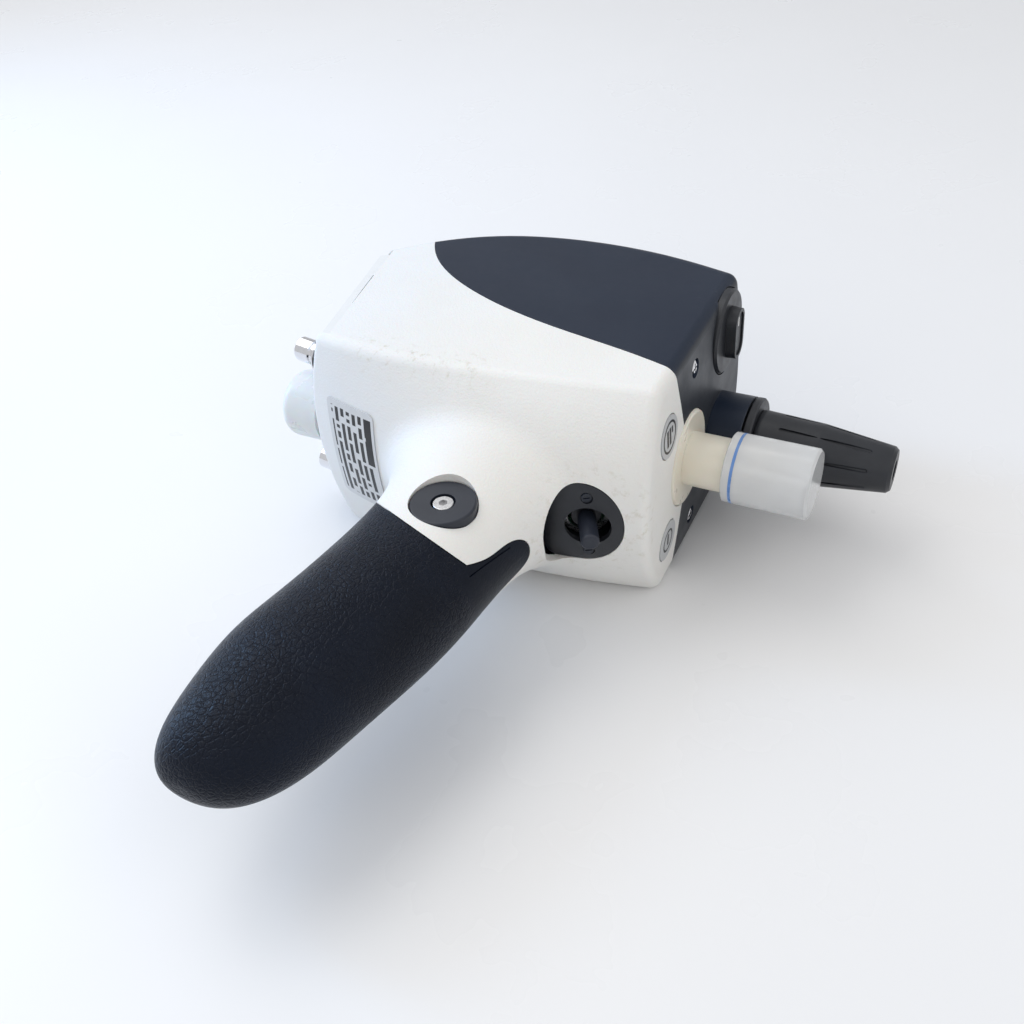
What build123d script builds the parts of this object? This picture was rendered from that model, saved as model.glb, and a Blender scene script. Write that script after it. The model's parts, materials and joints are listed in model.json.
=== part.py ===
"""Hand-held laser scanner handpiece, lying on its side.

Frame: millimetres, +X along the input tube and out of it, +Y away from the pistol handle,
+Z up and square to the mid-plane of the shells. The origin is the centre of the input tube's
flange, on its front face. The beam enters along -X and leaves through the nose at -X.
"""

from build123d import *
import math
import os
from functools import lru_cache

# ---- Shells ---------------------------------------------------------------------------------
WALL = 2.6
GAP = 0.3
END_X = -0.6
END_DOME_R = 600.0
END_EDGE_R = 6.0
NOSE_X = -133.0
NOSE_DOME_R = 130.0
NOSE_SLANT = 9.9
NOSE_PIVOT_Y = -20.0
NOSE_CORNER_R = 9.0
EDGE_R = 5.0

# One row a station: x, near side at mid-plane, near edge, far edge, far side at mid-plane,
# half thickness.
STATIONS = (
    (8.0, -37.0, -20.5, 53.0, 57.5, 41.6),
    (-10.0, -43.2, -24.8, 57.3, 61.8, 41.8),
    (-28.0, -47.8, -27.5, 61.3, 65.8, 42.0),
    (-58.0, -49.0, -31.0, 63.8, 68.6, 42.0),
    (-90.0, -44.5, -33.0, 59.5, 64.0, 42.0),
    (-118.0, -37.0, -30.5, 46.5, 51.0, 41.6),
    (-148.0, -22.0, -18.0, 26.0, 30.0, 39.5),
)

# One row a section of neck and handle: y, left x, right x, half thickness.
GRIP = (
    (-26.0, -111.0, -3.0, 36.0),
    (-44.0, -95.0, -18.0, 28.5),
    (-60.0, -85.5, -30.5, 23.0),
    (-78.0, -85.0, -34.5, 21.0),
    (-98.0, -87.0, -36.8, 21.6),
    (-125.0, -92.0, -42.6, 21.5),
    (-150.0, -94.0, -48.6, 19.0),
    (-167.0, -92.0, -55.2, 15.0),
    (-175.0, -88.5, -62.0, 10.6),
    (-178.4, -84.5, -68.0, 6.0),
    (-179.5, -80.5, -73.5, 2.2),
)
GRIP_WALL = 3.2
NECK_BLEND_R = 12.0

# Seam between neck and handle: a V-shaped cut, highest on the mid-plane.
SEAM_POINT = (-62.4, -69.5)
SEAM_ANGLE = -21.5
SEAM_SLOPE = 0.65

# Tang of the handle on the neck's +X side: distance along Y and half width.
FIN_OUTLINE = ((-65.5, 6.0), (-76.0, 8.0), (-84.0, 10.3), (-92.0, 14.0), (-100.0, 17.0))
FIN_TIP_Y = -62.3
FIN_BACK_X = -40.5

# Seam between the white and the black shell: on the sides, and on the mid-plane.
LEAF_EDGE = ((-119.0, 47.0), (-108.0, 29.5), (-82.0, 11.5), (-46.0, -1.0), (-22.5, -6.5), (8.0, -16.5))
LEAF_MID = ((-119.0, 47.0), (-108.0, 31.0), (-82.0, 16.0), (-46.0, 6.0), (-22.5, 3.0), (8.0, -1.5))

# ---- Input tube and its cap -----------------------------------------------------------------
FLANGE_R = 17.0
FLANGE_T = 3.4
SEAT_X = -4.0
PAD_X = -7.4
TUBE_R = 9.3
TUBE_BORE_R = 6.5
TUBE_END_X = 28.0
TUBE_BACK_X = -22.0
LENS_R = 15.8
CAP_R = 12.0
CAP_START_X = 14.0
CAP_END_X = 42.7
CAP_FLOOR = 2.0
CAP_GROOVE_X = 16.7

# ---- Cable outlet ---------------------------------------------------------------------------
OUTLET_Y = 31.5
OUTLET_Z = -11.5
BOSS_R = 16.0
BOSS_BORE_R = 12.5
BOSS_END_X = 11.5
COLLAR_R = 16.0
COLLAR_START_X = 12.2
COLLAR_END_X = 15.0
HUB_R = 10.1
CONE_BASE_R = 11.8
CONE_TIP_R = 8.15
CONE_END_X = 63.2
CABLE_BORE_R = 3.6
CONTACTS = 5
CONTACT_CIRCLE_R = 5.0
GROOVES = 8
GROOVE_R = 10.35

# ---- Rotary knob ----------------------------------------------------------------------------
KNOB_Y = 40.5
KNOB_Z = 26.3
KNOB_R = 15.0
KNOB_SEAT_X = -3.3
KNOB_FRONT_X = 0.0
KNOB_GRIP = (19.5, 10.5, 3.6)
KNOB_SHAFT_R = 3.0

# ---- Small parts on the end face ------------------------------------------------------------
KEY_Y = -19.3
KEY_Z = 21.8
KEY_R = 7.4
KEY_LIP_X = -4.6
KEY_BOARD_X = -10.0
SHELL_SCREW_Y = 7.2
SHELL_SCREW_Z = 31.2
SHELL_SCREW_SEAT_X = -3.2
TAB_X = -8.4

# ---- Joystick, drawn along -Y and then turned about its pivot -------------------------------
STICK_X = -18.5
STICK_PIVOT_Y = -45.6
STICK_TURN = 28.0
STICK_TIP_Y = -53.6
STICK_HOLE_R = 7.4
STICK_R = 3.0
STICK_SHAFT_R = 2.2
BEZEL_R = 14.2
BEZEL_TIP = 19.2
BEZEL_STRETCH = (0.9, 1.1, 1.0)
BEZEL_SHIFT = -1.6
BEZEL_SCREW_Z = 10.9
BEZEL_SEAT_Y = -43.7
GIMBAL_Y = -37.5
HOUSING_HALF = 12.4
HOUSING_FRONT_Y = -41.0
HOUSING_BACK_Y = -31.0

# ---- Nose -----------------------------------------------------------------------------------
NOSE_HALF = 38.0
SLOT_LENGTH = 21.0
EXIT_Y = -16.4
EXIT_TUBE_R = 11.0
EXIT_BORE_R = 8.0
PIN_Z = 24.5
PIN_R = 4.5
PIN_TIP_X = -142.5
PIN_TILT = 10.0
NOZZLE_CAP_R = 12.6
NOZZLE_CAP_END_X = -151.5
NOZZLE_SEAT_X = -133.5
LABEL_X0 = -121.0
LABEL_X1 = -98.5
LABEL_HALF = 21.0

# ---- Handle clamp ---------------------------------------------------------------------------
CLAMP_X = -54.5
CLAMP_Y = -72.0
DISC_R = 10.5
DISC_TOP_Z = 20.3
DISC_T = 3.6
CHEEK_Z = 12.4
HEAD_R = 3.3

# ---- Optics and electronics -----------------------------------------------------------------
FOLD_X = -78.0
SHAFT_R = 1.5
BENCH_Z0 = -22.0
BENCH_Z1 = -18.0
WHITE_POSTS = ((-105.0, -20.0), (-32.0, -20.0))
BLACK_POSTS = ((-98.0, 32.0), (-32.0, 28.0))
BOARD_Z = 22.0
STANDOFFS = ((-101.0, 5.0), (-101.0, 39.0), (-31.0, 5.0), (-31.0, 39.0))

# One row a component: centre x and y, then its length, width and height.
COMPONENTS = (
    (-92, 14, 14, 14, 2.2),
    (-70, 30, 10, 18, 3.0),
    (-52, 12, 12, 8, 2.4),
    (-44, 32, 14, 7, 5.5),
    (-88, 34, 8, 6, 4.0),
)


def rod_x(radius, x0, x1, y=0.0, z=0.0):
    """A round bar along X."""
    return Pos((x0 + x1) / 2, y, z) * Rot(0, 90, 0) * Cylinder(radius, abs(x1 - x0))


def rod_y(radius, y0, y1, x=0.0, z=0.0):
    """A round bar along Y."""
    return Pos(x, (y0 + y1) / 2, z) * Rot(90, 0, 0) * Cylinder(radius, abs(y1 - y0))


def rod_z(radius, z0, z1, x=0.0, y=0.0):
    """A round bar along Z."""
    return Pos(x, y, (z0 + z1) / 2) * Cylinder(radius, abs(z1 - z0))


def block(x0, x1, y0, y1, z0, z1):
    """A box between two corners."""
    centre = ((x0 + x1) / 2, (y0 + y1) / 2, (z0 + z1) / 2)
    return Pos(*centre) * Box(abs(x1 - x0), abs(y1 - y0), abs(z1 - z0))


def ring_x(outer, inner, x0, x1, y=0.0, z=0.0):
    """A plain ring about an axis along X."""
    return rod_x(outer, x0, x1, y, z) - rod_x(inner, x0 - 1, x1 + 1, y, z)


def turned_x(profile, y=0.0, z=0.0):
    """A solid turned about an axis along X, from (x, radius) corners."""
    face = make_face(Polyline(*profile, close=True))
    return Pos(0, y, z) * revolve(face, axis=Axis.X)


def pair_z(piece, y, z):
    """A piece placed at +z and its mirror image at -z."""
    placed = Pos(0, y, z) * piece
    return Compound(children=[placed, mirror(placed, about=Plane.XY)])


def largest(shape):
    """The main solid of a shape, without loose offcuts."""
    return shape.solids().sort_by(SortBy.VOLUME)[-1]


def try_fillet(shape, edges, radius):
    """Round the edges, or leave them sharp where the rounding has no room."""
    for size in (radius, radius * 0.7, radius * 0.4):
        try:
            rounded = fillet(edges, size)
        except (ValueError, RuntimeError):
            continue
        if rounded.is_valid and rounded.volume > 0.5 * shape.volume:
            return rounded
    return shape


# ---- Body envelope --------------------------------------------------------------------------


def body_section(station, inset):
    """Outline of the body at one station: flat sides, and bowed near and far faces."""
    x, near_mid, near_edge, far_edge, far_mid, half = station
    half = half - inset
    near_mid = near_mid + inset
    near_edge = near_edge + inset * 0.8
    far_edge = far_edge - inset * 0.8
    far_mid = far_mid - inset
    outline = [
        Line((near_edge, half), (far_edge, half)),
        ThreePointArc((far_edge, half), (far_mid, 0), (far_edge, -half)),
        Line((far_edge, -half), (near_edge, -half)),
        ThreePointArc((near_edge, -half), (near_mid, 0), (near_edge, half)),
    ]
    face = make_face(outline)
    face = fillet(face.vertices(), EDGE_R - min(inset, 1.5))
    return Plane.YZ.offset(x) * face


def end_dome(inset):
    """Everything behind the domed end face."""
    centre_x = END_X - inset - END_DOME_R
    return rod_y(END_DOME_R, -90, 110, x=centre_x)


def nose_dome(inset):
    """Everything behind the domed and slanted nose."""
    drum = rod_y(NOSE_DOME_R, -200, 200)
    drum = Rot(0, 0, NOSE_SLANT) * drum
    reach = NOSE_X + inset + NOSE_DOME_R / math.cos(math.radians(NOSE_SLANT))
    wide = block(reach, 60, -120, 120, -80, 80)
    return (Pos(reach, NOSE_PIVOT_Y, 0) * drum) + wide


@lru_cache
def body_envelope(inset=0.0):
    """The rounded box of both shells and the nose."""
    hull = loft([body_section(station, inset) for station in STATIONS])
    return hull & end_dome(inset) & nose_dome(inset)


def grip_section(row, inset):
    """A squarish oval section of neck and handle, square to Y."""
    y, left, right, half = row
    width = (right - left) / 2 - inset
    return Plane.XZ.offset(-y) * Pos((left + right) / 2, 0) * Ellipse(width, half - inset)


@lru_cache
def grip_envelope(inset=0.0, first=0, last=len(GRIP)):
    """Neck and handle as one smooth form."""
    return loft([grip_section(row, inset) for row in GRIP[first:last]])


def handle_side(shift=0.0):
    """Everything on the handle's side of its V-shaped seam."""
    reach = 60.0
    profile = Polyline(
        (shift, 0),
        (shift + SEAM_SLOPE * reach, reach),
        (160, reach),
        (160, -reach),
        (shift + SEAM_SLOPE * reach, -reach),
        close=True,
    )
    wedge = extrude(make_face(profile), amount=80, both=True)
    # The profile's first axis points down the handle, and its second one up.
    place = Plane(
        origin=(SEAM_POINT[0], SEAM_POINT[1], 0),
        x_dir=Vector(0, -1, 0).rotate(Axis.Z, SEAM_ANGLE),
        z_dir=Vector(-1, 0, 0).rotate(Axis.Z, SEAM_ANGLE),
    )
    return place * wedge


def fin_side(grow=0.0):
    """The space of the tang that runs up the neck from the handle, on its +X side."""
    side = [(FIN_TIP_Y + grow, 0)] + [(y, half + grow) for y, half in FIN_OUTLINE]
    other = [(y, -half) for y, half in reversed(side)]
    outline = [
        Spline(*side, tangents=((0, 1), (-8, 3))),
        Line(side[-1], other[0]),
        Spline(*other, tangents=((8, 3), (0, 1))),
    ]
    face = Plane.YZ.offset(FIN_BACK_X - grow) * make_face(outline)
    return extrude(face, amount=30)


def leaf_side(shift):
    """The side of the seam that belongs to the black shell, moved by shift along +Y."""

    def outline(points, height):
        moved = [(x, y + shift) for x, y in points]
        first, last = moved[0], moved[-1]
        edges = [
            Spline(*moved),
            Polyline(last, (20, last[1]), (20, 100), (first[0], 100), first),
        ]
        return Pos(0, 0, height) * make_face(edges)

    upper = loft([outline(LEAF_MID, 0), outline(LEAF_EDGE, 46)], ruled=True)
    return upper + mirror(upper, about=Plane.XY)


# ---- Shells ---------------------------------------------------------------------------------


def nose_prism(grow=0.0):
    """The space of the nose plate, as a slanted prism seen from above."""
    corners = (
        (-120.4 + grow, -27.0 - grow),
        (-131.0 + grow, 35.0 + grow),
        (-175.0, 35.0 + grow),
        (-175.0, -27.0 - grow),
    )
    face = Pos(0, 0, -60) * make_face(Polyline(*corners, close=True))
    return extrude(face, amount=120)


@lru_cache
def outer_form():
    """The outside of the box with its rounded end edges."""
    outer = body_envelope()
    end_edges = [
        edge for edge in outer.edges() if edge.center().X > -9 and edge.bounding_box().size.X < 8
    ]
    outer = try_fillet(outer, end_edges, END_EDGE_R)
    nose_corner = [edge for edge in outer.edges() if edge.center().X < -125 and edge.center().Y < -25]
    return try_fillet(outer, nose_corner, NOSE_CORNER_R)


def cavity():
    """The hollow of both shells, less the pads behind the flange and the knob."""
    hollow = body_envelope(WALL)
    hollow -= rod_x(FLANGE_R + 2.5, PAD_X, 5)
    hollow -= rod_x(KNOB_R + 2.5, -8.0, 5, KNOB_Y, KNOB_Z)
    return hollow


def end_face_openings():
    """Recesses and holes in the domed end face."""
    cuts = rod_x(FLANGE_R + 0.25, SEAT_X, 8)
    cuts += rod_x(TUBE_R + 0.3, -12, 8)
    cuts += rod_x(KNOB_R + 0.4, KNOB_SEAT_X, 12, KNOB_Y, KNOB_Z)
    cuts += rod_x(KNOB_SHAFT_R + 0.6, -12, 8, KNOB_Y, KNOB_Z)
    for side in (1, -1):
        cuts += rod_x(3.4, SHELL_SCREW_SEAT_X, 3, SHELL_SCREW_Y, side * SHELL_SCREW_Z)
        cuts += rod_x(1.7, -9, 3, SHELL_SCREW_Y, side * SHELL_SCREW_Z)
        cuts += rod_x(KEY_R + GAP, -9, 3, KEY_Y, side * KEY_Z)
    return cuts


def turn_joystick(piece):
    """Turns a joystick piece about the joystick's pivot, so that it leans towards +X."""
    return Pos(STICK_X, STICK_PIVOT_Y, 0) * Rot(0, 0, STICK_TURN) * Pos(-STICK_X, -STICK_PIVOT_Y, 0) * piece


def bezel_prism(grow=0.0):
    """The teardrop outline of the joystick bezel, run through the near wall."""
    radius = BEZEL_R + grow
    tip = BEZEL_TIP + grow
    reach = math.sqrt(tip**2 - radius**2)
    angle = math.degrees(math.acos(radius / tip))
    start = Vector(radius, 0).rotate(Axis.Z, 225 + angle)
    end = Vector(radius, 0).rotate(Axis.Z, 225 - angle)
    far = Vector(radius, 0).rotate(Axis.Z, 45)
    corner = Vector(tip, 0).rotate(Axis.Z, 225)
    outline = [ThreePointArc(start, far, end), Line(end, corner), Line(corner, start)]
    face = make_face(outline)
    face = fillet(face.vertices().sort_by_distance(corner)[0], reach * 0.35)
    face = Pos(STICK_X + BEZEL_SHIFT, 0) * scale(face, by=BEZEL_STRETCH)
    return turn_joystick(extrude(Plane.XZ.offset(70) * face, amount=-36))


def screw_tabs():
    """Tabs of the white shell that the two shell screws bite into."""
    tab = block(-14, TAB_X, -20, 12, 27.5, 38.8) + block(-14, TAB_X, -24, -16, 30, 40.5)
    tab -= rod_x(1.25, -15, -7, SHELL_SCREW_Y, SHELL_SCREW_Z)
    return tab + mirror(tab, about=Plane.XY)


def bench_posts(places):
    """Posts on the lower wall that carry the optical bench."""
    posts = Part()
    for x, y in places:
        post = rod_z(4.0, -40.5, BENCH_Z0, x, y) - rod_z(1.25, -36, BENCH_Z0 + 1, x, y)
        posts += post
    return posts


def clamp_cuts():
    """Pockets of the two clamp discs and the clamp screw's hole."""
    pocket = rod_z(DISC_R + GAP, DISC_TOP_Z - DISC_T, 60, CLAMP_X, CLAMP_Y)
    return pocket + mirror(pocket, about=Plane.XY) + rod_z(2.3, -30, 30, CLAMP_X, CLAMP_Y)


def clamp_pads():
    """Solid cheeks of the neck under the clamp discs."""
    pad = rod_z(DISC_R + 3.0, CHEEK_Z, 24, CLAMP_X, CLAMP_Y)
    return (pad + mirror(pad, about=Plane.XY)) & grip_envelope(0.5, 0, 6)


@lru_cache
def shell_and_neck():
    """The outside of the box and the neck, blended together."""
    box = outer_form()
    neck = grip_envelope() - handle_side()
    whole = box + neck
    return try_fillet(whole, new_edges(box, neck, combined=whole), NECK_BLEND_R)


@lru_cache
def build_white_shell():
    shell = shell_and_neck() - leaf_side(-GAP * 0.8)
    shell -= cavity() + grip_envelope(GRIP_WALL, 0, 6)
    shell += clamp_pads() - handle_side()
    shell += screw_tabs() + bench_posts(WHITE_POSTS)
    shell -= clamp_cuts()
    shell -= fin_side(GAP) & grip_envelope(-0.5, 1, 6)
    shell -= nose_prism(GAP) + rod_x(EXIT_TUBE_R + 1.3, -125, -110, EXIT_Y)
    shell -= bezel_prism(GAP)
    return largest(shell - end_face_openings())


def build_black_shell():
    shell = outer_form() & leaf_side(0.0)
    shell -= cavity()
    shell += bench_posts(BLACK_POSTS)
    shell += rod_x(BOSS_R, -9, BOSS_END_X, OUTLET_Y, OUTLET_Z)
    shell -= rod_x(BOSS_BORE_R, -30, BOSS_END_X + 5, OUTLET_Y, OUTLET_Z)
    return largest(shell - end_face_openings())


def build_shell_screws():
    seat = SHELL_SCREW_SEAT_X
    screw = turned_x([(seat, 0), (seat, 2.9), (seat + 1.0, 2.9), (seat + 1.7, 1.6), (seat + 1.7, 0)])
    screw += rod_x(1.2, -13.5, seat)
    for turn in (0, 90):
        screw -= Rot(turn, 0, 0) * block(seat + 0.9, seat + 3, -1.7, 1.7, -0.35, 0.35)
    return pair_z(screw, SHELL_SCREW_Y, SHELL_SCREW_Z)


# ---- Nose -----------------------------------------------------------------------------------


def pin_place(side):
    """The plane at a guide pin's tip, with its Z axis pointing back into the nose."""
    inward = Vector(1, 0, 0).rotate(Axis.Z, -PIN_TILT)
    return Plane(origin=(PIN_TIP_X, EXIT_Y, side * PIN_Z), x_dir=(0, 0, 1), z_dir=inward)


def turned_pin(profile, side):
    """A solid turned about a guide pin's axis, from (distance from the tip, radius) corners."""
    face = Plane.XZ * make_face(Polyline(*[(radius, depth) for depth, radius in profile], close=True))
    return pin_place(side) * revolve(face, axis=Axis.Z)


def build_guide_pins():
    profile = [
        (0, 0), (0, 4.0), (0.5, PIN_R), (6.6, PIN_R), (7.1, 4.0), (7.8, 3.9),
        (11.0, 6.8), (11.6, 6.8), (11.6, 3.0), (29.5, 3.0), (29.5, 0),
    ]
    return Compound(children=[turned_pin(profile, side) for side in (1, -1)])


def pin_holes():
    """Seats and holes for the two guide pins."""
    cuts = Part()
    for side in (1, -1):
        cuts += turned_pin([(0, 0), (0, 7.1), (11.7, 7.1), (11.7, 3.2), (32, 3.2), (32, 0)], side)
    return cuts


def build_nose_plate():
    sides = block(-180, -100, -80, 80, -NOSE_HALF, NOSE_HALF)
    plate = body_envelope() & nose_prism() & sides
    hollow_sides = block(-180, -100, -80, 80, 3 - NOSE_HALF, NOSE_HALF - 3)
    plate -= body_envelope(3.2) & nose_prism(-3.0) & hollow_sides
    plate -= nose_prism(-3.0) & hollow_sides & block(-130.5, -100, -80, 80, -60, 60)
    slot = Rot(0, 0, NOSE_SLANT) * block(-0.7, 0.7, -SLOT_LENGTH / 2, SLOT_LENGTH / 2, 20, 60)
    plate -= Pos(-128.6, 8.5, 0) * slot
    plate -= rod_x(11.3, -160, -110, EXIT_Y)
    plate -= rod_x(NOZZLE_CAP_R + 0.4, -160, NOZZLE_SEAT_X, EXIT_Y)
    return largest(plate - pin_holes())


def build_front_bracket():
    bracket = block(-117, -113, -28, 8, -30, 30)
    bracket -= rod_x(11.02, -120, -110, EXIT_Y)
    return bracket - pin_holes()


def build_exit_tube():
    profile = [
        (-142.5, EXIT_BORE_R), (-142.5, EXIT_TUBE_R - 0.5), (-142.0, EXIT_TUBE_R), (-120, EXIT_TUBE_R),
        (-120, 12.0), (-117.05, 12.0), (-117.05, EXIT_TUBE_R), (-110, EXIT_TUBE_R), (-110, EXIT_BORE_R),
    ]
    return turned_x(profile, EXIT_Y)


def build_exit_window():
    return rod_x(EXIT_BORE_R, -139.0, -137.0, EXIT_Y)


def build_window_retainer():
    return rod_x(EXIT_BORE_R, -141.5, -139.0, EXIT_Y) - rod_x(EXIT_BORE_R - 1.2, -145, -130, EXIT_Y)


def build_nozzle_cap():
    """A thin cap with a domed end, a push fit over the exit tube."""
    r = NOZZLE_CAP_R
    start, end = NOZZLE_SEAT_X - GAP, NOZZLE_CAP_END_X
    outline = [
        Line((start, EXIT_TUBE_R + 0.05), (start, r)),
        Line((start, r), (end + 6, r)),
        Spline((end + 6, r), (end + 1.5, r * 0.72), (end, 0), tangents=((-1, 0), (0, -1))),
        Line((end, 0), (end + 1.6, 0)),
        Spline((end + 1.6, 0), (end + 3.0, (r - 1.5) * 0.70), (end + 7, r - 1.55), tangents=((0, 1), (1, 0))),
        Line((end + 7, r - 1.55), (start, EXIT_TUBE_R + 0.05)),
    ]
    return Pos(0, EXIT_Y, 0) * revolve(make_face(outline), axis=Axis.X)


def build_nameplate():
    patch = block(LABEL_X0, LABEL_X1, -70, -25, -LABEL_HALF, LABEL_HALF)
    patch = fillet(patch.edges().filter_by(Axis.Y), 2.5)
    return largest((patch & body_envelope(-0.4)) - body_envelope(-0.05) - build_white_shell())


# ---- Input tube -----------------------------------------------------------------------------


def build_input_tube():
    rim = 1.1
    profile = [
        (TUBE_BACK_X, TUBE_BORE_R), (TUBE_BACK_X, TUBE_R), (-FLANGE_T, TUBE_R), (-FLANGE_T, FLANGE_R),
        (-rim, FLANGE_R), (-0.3, FLANGE_R - 0.4), (0, FLANGE_R - rim), (0, TUBE_R),
        (TUBE_END_X - 0.8, TUBE_R), (TUBE_END_X, TUBE_R - 0.8), (TUBE_END_X, TUBE_BORE_R),
    ]
    return turned_x(profile)


def build_input_lens():
    """A plano-convex lens."""
    return rod_x(TUBE_BORE_R, -17, -13.6) & (Pos(-13.6 - LENS_R, 0, 0) * Sphere(LENS_R))


def build_clear_cap():
    groove = CAP_GROOVE_X
    inner = CAP_R - 1.3
    profile = [
        (CAP_START_X, TUBE_R + 0.06), (CAP_START_X, CAP_R - 0.4), (CAP_START_X + 0.4, CAP_R),
        (groove, CAP_R), (groove, CAP_R - 0.5), (groove + 1.0, CAP_R - 0.5), (groove + 1.0, CAP_R),
        (CAP_END_X - 0.8, CAP_R), (CAP_END_X, CAP_R - 0.8), (CAP_END_X, 0),
        (CAP_END_X - CAP_FLOOR, 0), (CAP_END_X - CAP_FLOOR, inner), (CAP_START_X + 5.0, inner),
        (CAP_START_X + 4.0, TUBE_R + 0.06),
    ]
    return turned_x(profile)


def build_cap_ring():
    return ring_x(CAP_R + 0.05, CAP_R - 0.5, CAP_GROOVE_X + 0.02, CAP_GROOVE_X + 0.98)


# ---- Cable outlet ---------------------------------------------------------------------------


def contact_places(radius):
    """Places of the contacts, on a circle about the outlet's axis."""
    for index in range(CONTACTS):
        turn = math.radians(360 / CONTACTS * index)
        yield OUTLET_Y + radius * math.cos(turn), OUTLET_Z + radius * math.sin(turn)


def build_outlet_socket():
    return rod_x(BOSS_BORE_R - 0.03, -13, 3.0, OUTLET_Y, OUTLET_Z) - contact_rods(0.81, -14, 4)


def contact_rods(radius, x0, x1):
    """Round bars on the contacts' axes."""
    return Compound(children=[rod_x(radius, x0, x1, y, z) for y, z in contact_places(CONTACT_CIRCLE_R)])


def build_socket_contacts():
    return contact_rods(0.8, -16, 8.5)


def build_plug_contacts():
    tubes = []
    for y, z in contact_places(CONTACT_CIRCLE_R):
        tubes.append(rod_x(1.5, 3.6, 13.0, y, z) - rod_x(0.9, 3, 12.0, y, z))
    return Compound(children=tubes)


def build_cable_collar():
    profile = [
        (5.0, HUB_R + 0.1), (5.0, BOSS_BORE_R - 0.35), (COLLAR_START_X, BOSS_BORE_R - 0.35),
        (COLLAR_START_X, COLLAR_R - 0.3), (COLLAR_START_X + 0.3, COLLAR_R), (COLLAR_END_X - 0.6, COLLAR_R),
        (COLLAR_END_X, COLLAR_R - 0.6), (COLLAR_END_X, HUB_R + 0.1),
    ]
    return turned_x(profile, OUTLET_Y, OUTLET_Z)


def build_cable_sleeve():
    """Conical sleeve with a hub for the contacts, a through bore and lengthwise grooves."""
    base = COLLAR_END_X + GAP
    profile = [
        (3.6, 0), (3.6, HUB_R), (base, HUB_R), (base, CONE_BASE_R), (base + 1.5, CONE_BASE_R + 0.2),
        (base + 22, CONE_BASE_R - 0.6), (CONE_END_X - 1.2, CONE_TIP_R + 0.1), (CONE_END_X, CONE_TIP_R - 0.9),
        (CONE_END_X, 0),
    ]
    sleeve = turned_x(profile) - rod_x(CABLE_BORE_R, 20, CONE_END_X + 1)
    x0, x1 = base + 8.5, CONE_END_X - 8.5
    for index in range(GROOVES):
        groove = rod_x(0.7, x0, x1) + Pos(x0, 0, 0) * Sphere(0.7) + Pos(x1, 0, 0) * Sphere(0.7)
        lean = math.degrees(math.atan2(CONE_BASE_R - CONE_TIP_R, CONE_END_X - base)) * 0.9
        groove = Pos((x0 + x1) / 2, 0, GROOVE_R) * Rot(0, lean, 0) * Pos(-(x0 + x1) / 2, 0, 0) * groove
        sleeve -= Rot(360 / GROOVES * (index + 0.5), 0, 0) * groove
    sleeve = Pos(0, OUTLET_Y, OUTLET_Z) * sleeve
    return sleeve - contact_rods(1.52, 3, 13.0)


# ---- Knob and keys --------------------------------------------------------------------------


def build_selector_knob():
    front = KNOB_FRONT_X
    profile = [
        (KNOB_SEAT_X + GAP, 0), (KNOB_SEAT_X + GAP, KNOB_R), (front - 0.8, KNOB_R),
        (front, KNOB_R - 0.8), (front, 0),
    ]
    knob = turned_x(profile) + rod_x(KNOB_SHAFT_R, -20, KNOB_SEAT_X + 1)
    length, width, height = KNOB_GRIP
    grip = extrude(Plane.YZ.offset(front - 0.5) * SlotOverall(length, width), amount=height + 0.5, taper=4)
    grip -= extrude(Plane.YZ.offset(front + height - 0.6) * SlotOverall(length - 3, width - 3), amount=2.0)
    grip = Rot(90, 0, 0) * grip
    return Pos(0, KNOB_Y, KNOB_Z) * (knob + grip)


def build_rotary_switch():
    body = rod_x(9.0, -19, -8.4, KNOB_Y, KNOB_Z)
    return body - rod_x(KNOB_SHAFT_R + 0.05, -21, -8, KNOB_Y, KNOB_Z)


def build_key(side):
    """A round key whose face follows the domed end, with a lip behind the wall."""
    y, z = KEY_Y, side * KEY_Z
    key = rod_x(KEY_R, KEY_LIP_X - 0.5, 3, y, z) & end_dome(-0.3)
    return key + rod_x(KEY_R + 1.2, KEY_LIP_X - 1.1, KEY_LIP_X, y, z)


def build_key_board():
    return block(KEY_BOARD_X - 1.2, KEY_BOARD_X, -28, -15.4, -26.8, 26.8)


def build_key_switches():
    switches = []
    for side in (1, -1):
        z = side * KEY_Z
        body = block(KEY_BOARD_X, KEY_BOARD_X + 3, KEY_Y - 3, KEY_Y + 3, z - 3, z + 3)
        switches.append(body + rod_x(1.7, KEY_BOARD_X + 3, KEY_BOARD_X + 3.5, KEY_Y, z))
    return Compound(children=switches)


# ---- Joystick -------------------------------------------------------------------------------


def build_joystick_bezel():
    holes = rod_y(STICK_HOLE_R, -60, -30, STICK_X)
    for side in (1, -1):
        z = side * BEZEL_SCREW_Z
        holes += rod_y(1.95, -60, BEZEL_SEAT_Y, STICK_X, z) + rod_y(1.05, -60, -30, STICK_X, z)
    bezel = (bezel_prism() & outer_form()) - body_envelope(2.2)
    return largest(bezel - turn_joystick(holes))


def build_bezel_screws():
    screws = []
    for side in (1, -1):
        z = side * BEZEL_SCREW_Z
        head = BEZEL_SEAT_Y - 0.8
        screw = rod_y(1.75, head, BEZEL_SEAT_Y, STICK_X, z)
        screw += rod_y(1.0, BEZEL_SEAT_Y - 0.1, -34, STICK_X, z)
        screw -= block(STICK_X - 1.1, STICK_X + 1.1, head - 1, head + 0.4, z - 0.25, z + 0.25)
        screws.append(turn_joystick(screw))
    return Compound(children=screws)


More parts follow.
